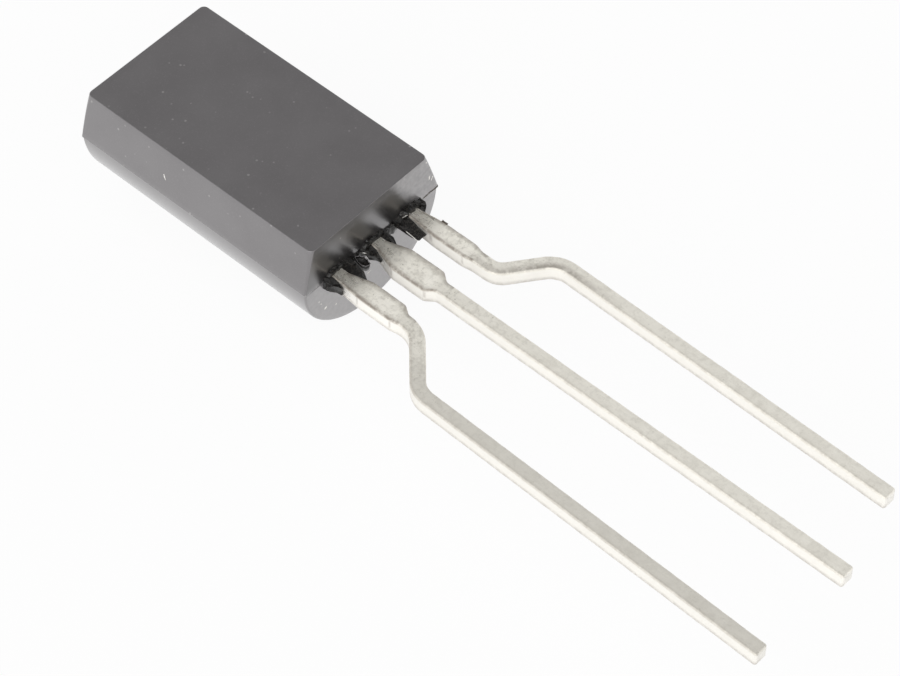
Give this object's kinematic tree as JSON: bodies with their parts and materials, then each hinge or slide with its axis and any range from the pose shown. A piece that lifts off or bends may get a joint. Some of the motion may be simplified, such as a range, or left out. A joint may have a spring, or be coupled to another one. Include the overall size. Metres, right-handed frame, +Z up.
{
  "type": "transistor",
  "caption": "Transistor in a long moulded package with a flat front and a round back; its tin-plated leads leave one end in a row and the outer ones are kinked apart.",
  "frame": {"origin": "the lowest point of the round back, half way along the moulded body and midway across it", "axes": "+X across the leads from the emitter to the base, +Y along the body away from the leads, +Z up through the flat front face"},
  "size_m": [0.0058, 0.022, 0.0036],
  "materials": {
    "moulded_resin": "satin moulded epoxy, dark grey",
    "tinned_strip": "dull tin plate on copper alloy",
    "silicon": "bare silicon",
    "solder": "soft solder",
    "gold_wire": "fine drawn gold wire"
  },
  "bodies": {
    "root": {"moulded_body": "moulded_resin", "emitter_lead": "tinned_strip", "collector_lead": "tinned_strip", "base_lead": "tinned_strip", "silicon_die": "silicon", "die_solder": "solder", "emitter_bond_wire": "gold_wire", "base_bond_wire": "gold_wire"}
  },
  "joints": []
}
